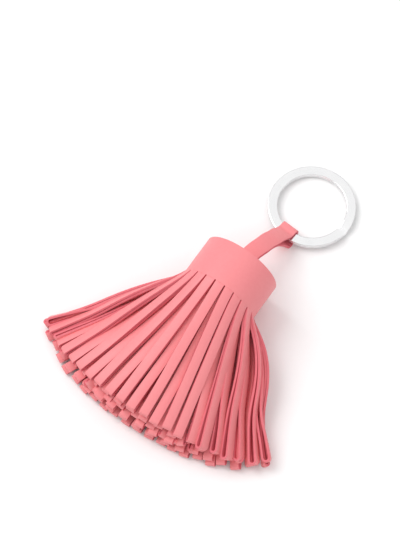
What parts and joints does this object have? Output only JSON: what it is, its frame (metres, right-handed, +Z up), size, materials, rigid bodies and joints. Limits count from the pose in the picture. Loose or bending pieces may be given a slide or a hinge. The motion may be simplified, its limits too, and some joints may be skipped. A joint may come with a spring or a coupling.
{
  "type": "tassel key ring",
  "caption": "Leather tassel key ring: a slit, folded strip rolled into a round head that fans into looped strands, with a strap round a flat split ring.",
  "frame": {"origin": "on the table under the middle of the object's box, as it lies flat", "axes": "+Y along the tassel's axis from the fringe to the ring, +Z up from the table, +X to the side"},
  "size_m": [0.0946, 0.1224, 0.0308],
  "materials": {
    "lambskin": "smooth dyed leather, satin, with cut edges and inner faces in the same pink",
    "split_ring_steel": "polished, silver",
    "thread": "waxed thread"
  },
  "bodies": {
    "head": {"rolled_head": "lambskin", "strap_upper_tail": "lambskin", "strap_lower_tail": "lambskin", "tail_stitches": "thread", "second_turn_strands": "lambskin", "third_turn_strands": "lambskin", "fourth_turn_strands": "lambskin", "fifth_turn_strands": "lambskin", "sixth_turn_strands": "lambskin"},
    "strap": {"strap_shank": "lambskin"},
    "eye": {"strap_eye": "lambskin"},
    "ring": {"split_ring": "split_ring_steel"},
    "tassel_strand_01": {"tassel_strand_01": "lambskin"},
    "tassel_strand_02": {"tassel_strand_02": "lambskin"},
    "tassel_strand_03": {"tassel_strand_03": "lambskin"},
    "tassel_strand_04": {"tassel_strand_04": "lambskin"},
    "tassel_strand_05": {"tassel_strand_05": "lambskin"},
    "tassel_strand_06": {"tassel_strand_06": "lambskin"},
    "tassel_strand_07": {"tassel_strand_07": "lambskin"},
    "tassel_strand_08": {"tassel_strand_08": "lambskin"},
    "tassel_strand_09": {"tassel_strand_09": "lambskin"},
    "tassel_strand_10": {"tassel_strand_10": "lambskin"},
    "tassel_strand_11": {"tassel_strand_11": "lambskin"},
    "tassel_strand_12": {"tassel_strand_12": "lambskin"},
    "tassel_strand_13": {"tassel_strand_13": "lambskin"},
    "tassel_strand_14": {"tassel_strand_14": "lambskin"},
    "tassel_strand_15": {"tassel_strand_15": "lambskin"},
    "tassel_strand_16": {"tassel_strand_16": "lambskin"},
    "tassel_strand_17": {"tassel_strand_17": "lambskin"},
    "tassel_strand_18": {"tassel_strand_18": "lambskin"},
    "tassel_strand_19": {"tassel_strand_19": "lambskin"},
    "tassel_strand_20": {"tassel_strand_20": "lambskin"},
    "tassel_strand_21": {"tassel_strand_21": "lambskin"},
    "tassel_strand_22": {"tassel_strand_22": "lambskin"},
    "tassel_strand_23": {"tassel_strand_23": "lambskin"}
  },
  "joints": [
    {"name": "strap_bend", "type": "hinge", "parent": "head", "child": "strap", "pos_m": [0.00033, 0.00908, 0.01583], "axis": [0.9549, -0.297, 0], "range_deg": [-40, 75]},
    {"name": "eye_fold", "type": "hinge", "parent": "strap", "child": "eye", "pos_m": [0.00503, 0.02419, 0.00711], "axis": [0.9986, -0.0523, 0], "range_deg": [-60, 60]},
    {"name": "ring_spin", "type": "hinge", "parent": "eye", "child": "ring", "pos_m": [0.00613, 0.04518, 0.00192], "axis": [0.0024, 0.0464, 0.9989], "continuous": true},
    {"name": "tassel_strand_01_lift", "type": "hinge", "parent": "head", "child": "tassel_strand_01", "pos_m": [-0.0115, -0.00818, 0.00513], "axis": [0.8009, 0, -0.5989], "range_deg": [0, 35], "stiffness_Nm_per_rad": 0.001},
    {"name": "tassel_strand_02_lift", "type": "hinge", "parent": "head", "child": "tassel_strand_02", "pos_m": [-0.00847, -0.00818, 0.00257], "axis": [0.9035, 0, -0.4286], "range_deg": [0, 35], "stiffness_Nm_per_rad": 0.001},
    {"name": "tassel_strand_03_lift", "type": "hinge", "parent": "head", "child": "tassel_strand_03", "pos_m": [-0.0049, -0.00818, 0.00085], "axis": [0.9701, 0, -0.2428], "range_deg": [0, 35], "stiffness_Nm_per_rad": 0.001},
    {"name": "tassel_strand_04_lift", "type": "hinge", "parent": "head", "child": "tassel_strand_04", "pos_m": [-0.00101, -0.00818, 0.0001], "axis": [0.9988, 0, -0.048], "range_deg": [0, 35], "stiffness_Nm_per_rad": 0.001},
    {"name": "tassel_strand_05_lift", "type": "hinge", "parent": "head", "child": "tassel_strand_05", "pos_m": [0.00295, -0.00818, 0.00036], "axis": [0.9889, 0, 0.1485], "range_deg": [0, 35], "stiffness_Nm_per_rad": 0.001},
    {"name": "tassel_strand_06_lift", "type": "hinge", "parent": "head", "child": "tassel_strand_06", "pos_m": [0.00671, -0.00818, 0.00162], "axis": [0.9406, 0, 0.3396], "range_deg": [0, 35], "stiffness_Nm_per_rad": 0.001},
    {"name": "tassel_strand_07_lift", "type": "hinge", "parent": "head", "child": "tassel_strand_07", "pos_m": [0.01002, -0.00818, 0.00379], "axis": [0.8553, 0, 0.5182], "range_deg": [0, 35], "stiffness_Nm_per_rad": 0.001},
    {"name": "tassel_strand_08_lift", "type": "hinge", "parent": "head", "child": "tassel_strand_08", "pos_m": [0.01269, -0.00818, 0.00672], "axis": [0.735, 0, 0.6781], "range_deg": [0, 35], "stiffness_Nm_per_rad": 0.001},
    {"name": "tassel_strand_09_lift", "type": "hinge", "parent": "head", "child": "tassel_strand_09", "pos_m": [0.01451, -0.00818, 0.01024], "axis": [0.5807, 0, 0.8141], "range_deg": [0, 35], "stiffness_Nm_per_rad": 0.001},
    {"name": "tassel_strand_10_lift", "type": "hinge", "parent": "head", "child": "tassel_strand_10", "pos_m": [0.01539, -0.00818, 0.0141], "axis": [0.3729, 0, 0.9279], "range_deg": [0, 35], "stiffness_Nm_per_rad": 0.001},
    {"name": "tassel_strand_11_lift", "type": "hinge", "parent": "head", "child": "tassel_strand_11", "pos_m": [0.01526, -0.00818, 0.01807], "axis": [-0.3931, 0, 0.9195], "range_deg": [0, 35], "stiffness_Nm_per_rad": 0.001},
    {"name": "tassel_strand_12_lift", "type": "hinge", "parent": "head", "child": "tassel_strand_12", "pos_m": [0.01413, -0.00818, 0.02186], "axis": [-0.6022, 0, 0.7983], "range_deg": [0, 35], "stiffness_Nm_per_rad": 0.001},
    {"name": "tassel_strand_13_lift", "type": "hinge", "parent": "head", "child": "tassel_strand_13", "pos_m": [0.01206, -0.00818, 0.02525], "axis": [-0.76, 0, 0.6499], "range_deg": [0, 35], "stiffness_Nm_per_rad": 0.001},
    {"name": "tassel_strand_14_lift", "type": "hinge", "parent": "head", "child": "tassel_strand_14", "pos_m": [0.00917, -0.00818, 0.02798], "axis": [-0.8833, 0, 0.4688], "range_deg": [0, 35], "stiffness_Nm_per_rad": 0.001},
    {"name": "tassel_strand_15_lift", "type": "hinge", "parent": "head", "child": "tassel_strand_15", "pos_m": [0.00565, -0.00818, 0.02983], "axis": [-0.9633, 0, 0.2685], "range_deg": [0, 35], "stiffness_Nm_per_rad": 0.001},
    {"name": "tassel_strand_16_lift", "type": "hinge", "parent": "head", "child": "tassel_strand_16", "pos_m": [0.00176, -0.00818, 0.03065], "axis": [-0.9984, 0, 0.0569], "range_deg": [0, 35], "stiffness_Nm_per_rad": 0.001},
    {"name": "tassel_strand_17_lift", "type": "hinge", "parent": "head", "child": "tassel_strand_17", "pos_m": [-0.00221, -0.00818, 0.0304], "axis": [-0.9876, 0, -0.157], "range_deg": [0, 35], "stiffness_Nm_per_rad": 0.001},
    {"name": "tassel_strand_18_lift", "type": "hinge", "parent": "head", "child": "tassel_strand_18", "pos_m": [-0.00596, -0.00818, 0.02908], "axis": [-0.9313, 0, -0.3643], "range_deg": [0, 35], "stiffness_Nm_per_rad": 0.001},
    {"name": "tassel_strand_19_lift", "type": "hinge", "parent": "head", "child": "tassel_strand_19", "pos_m": [-0.00922, -0.00818, 0.0268], "axis": [-0.8308, 0, -0.5566], "range_deg": [0, 35], "stiffness_Nm_per_rad": 0.001},
    {"name": "tassel_strand_20_lift", "type": "hinge", "parent": "head", "child": "tassel_strand_20", "pos_m": [-0.01175, -0.00818, 0.02373], "axis": [-0.6876, 0, -0.7261], "range_deg": [0, 35], "stiffness_Nm_per_rad": 0.001},
    {"name": "tassel_strand_21_lift", "type": "hinge", "parent": "head", "child": "tassel_strand_21", "pos_m": [-0.01334, -0.00818, 0.02008], "axis": [-0.4974, 0, -0.8675], "range_deg": [0, 35], "stiffness_Nm_per_rad": 0.001},
    {"name": "tassel_strand_22_lift", "type": "hinge", "parent": "head", "child": "tassel_strand_22", "pos_m": [-0.0139, -0.00818, 0.01615], "axis": [-0.0742, 0, -0.9972], "range_deg": [0, 35], "stiffness_Nm_per_rad": 0.001},
    {"name": "tassel_strand_23_lift", "type": "hinge", "parent": "head", "child": "tassel_strand_23", "pos_m": [-0.01338, -0.00818, 0.01221], "axis": [0.5231, 0, -0.8522], "range_deg": [0, 35], "stiffness_Nm_per_rad": 0.001}
  ]
}
